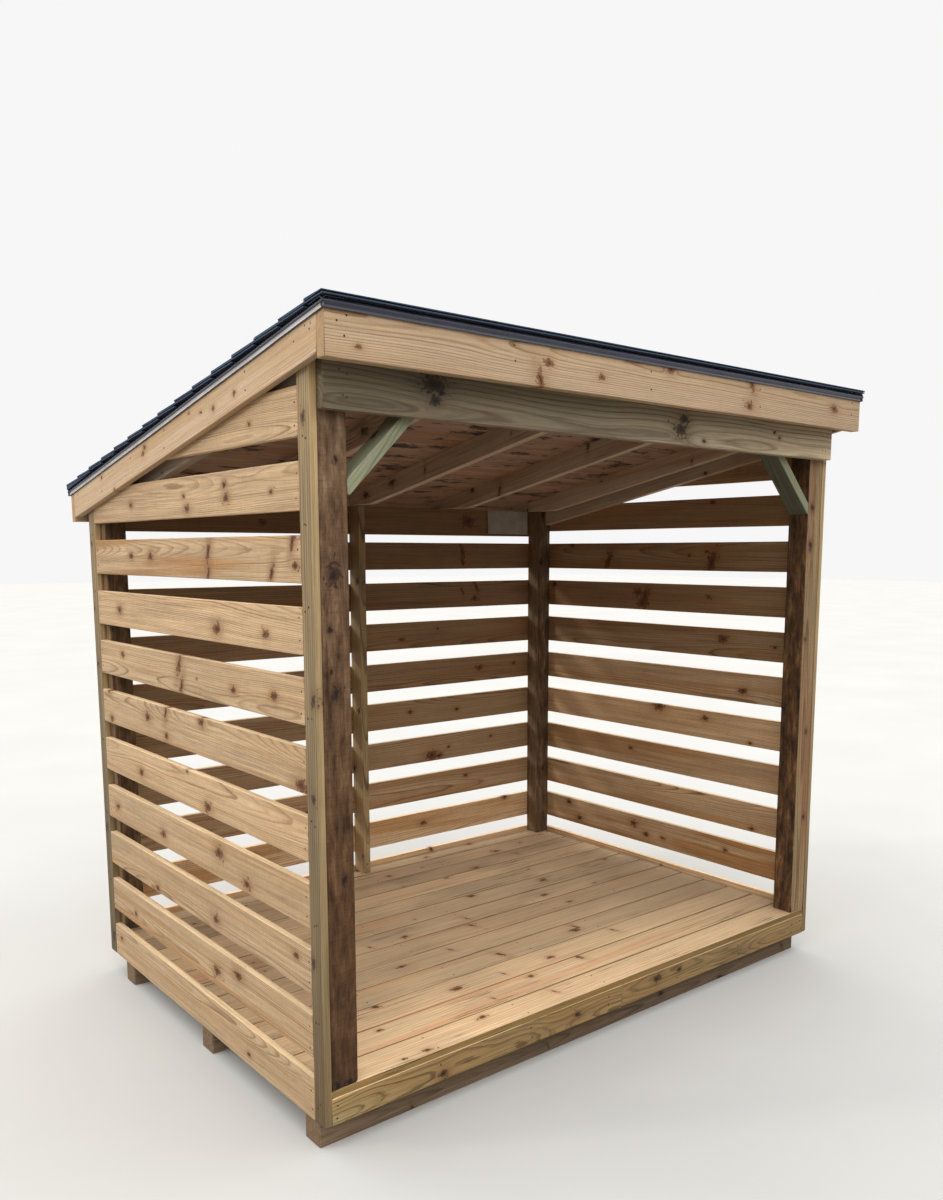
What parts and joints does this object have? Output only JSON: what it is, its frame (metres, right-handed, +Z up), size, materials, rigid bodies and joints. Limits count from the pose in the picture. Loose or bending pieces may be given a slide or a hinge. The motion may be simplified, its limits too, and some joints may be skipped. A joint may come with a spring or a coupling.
{
  "type": "open-fronted firewood store",
  "caption": "Open-fronted timber firewood store with slatted walls, a board floor on skids and a single-slope shingled roof.",
  "frame": {"origin": "middle of the bounding box at ground level, under the floor", "axes": "+Z up; +X along the open front, to the right for someone who faces it; +Y from the open front to the back wall"},
  "size_m": [2.6708, 2.164, 2.5416],
  "materials": {
    "skid_wood": "weathered grey",
    "rim_wood": "treated, matt",
    "deck_wood": "matt",
    "post_wood": "rough sawn",
    "slat_wood": "matt",
    "header_wood": "treated, matt",
    "rafter_wood": "matt",
    "sheathing_wood": "matt panel",
    "fascia_wood": "treated, matt",
    "drip_metal": "dark satin",
    "shingle": "granular"
  },
  "bodies": {
    "root": {"front_skid": "skid_wood", "middle_skid": "skid_wood", "back_skid": "skid_wood", "front_rim_left": "rim_wood", "front_rim_right": "rim_wood", "back_rim": "rim_wood", "left_rim": "rim_wood", "right_rim": "rim_wood", "floor_joists": "rim_wood", "deck_boards": "deck_wood", "front_left_post": "post_wood", "front_right_post": "post_wood", "back_left_post": "post_wood", "back_right_post": "post_wood", "back_middle_stud": "post_wood", "front_left_trim": "slat_wood", "front_right_trim": "slat_wood", "back_left_trim": "slat_wood", "back_right_trim": "slat_wood", "left_wall_slats": "slat_wood", "right_wall_slats": "slat_wood", "back_wall_slats": "slat_wood", "front_header": "header_wood", "back_header": "header_wood", "left_brace": "header_wood", "right_brace": "header_wood", "left_end_rafter": "rafter_wood", "right_end_rafter": "rafter_wood", "rafter_1": "rafter_wood", "rafter_2": "rafter_wood", "rafter_3": "rafter_wood", "rafter_4": "rafter_wood", "roof_sheathing": "sheathing_wood", "front_fascia": "fascia_wood", "back_fascia": "fascia_wood", "left_barge_board": "fascia_wood", "right_barge_board": "fascia_wood", "front_drip_edge": "drip_metal", "back_drip_edge": "drip_metal", "left_drip_edge": "drip_metal", "right_drip_edge": "drip_metal", "roof_shingles": "shingle"}
  },
  "joints": []
}
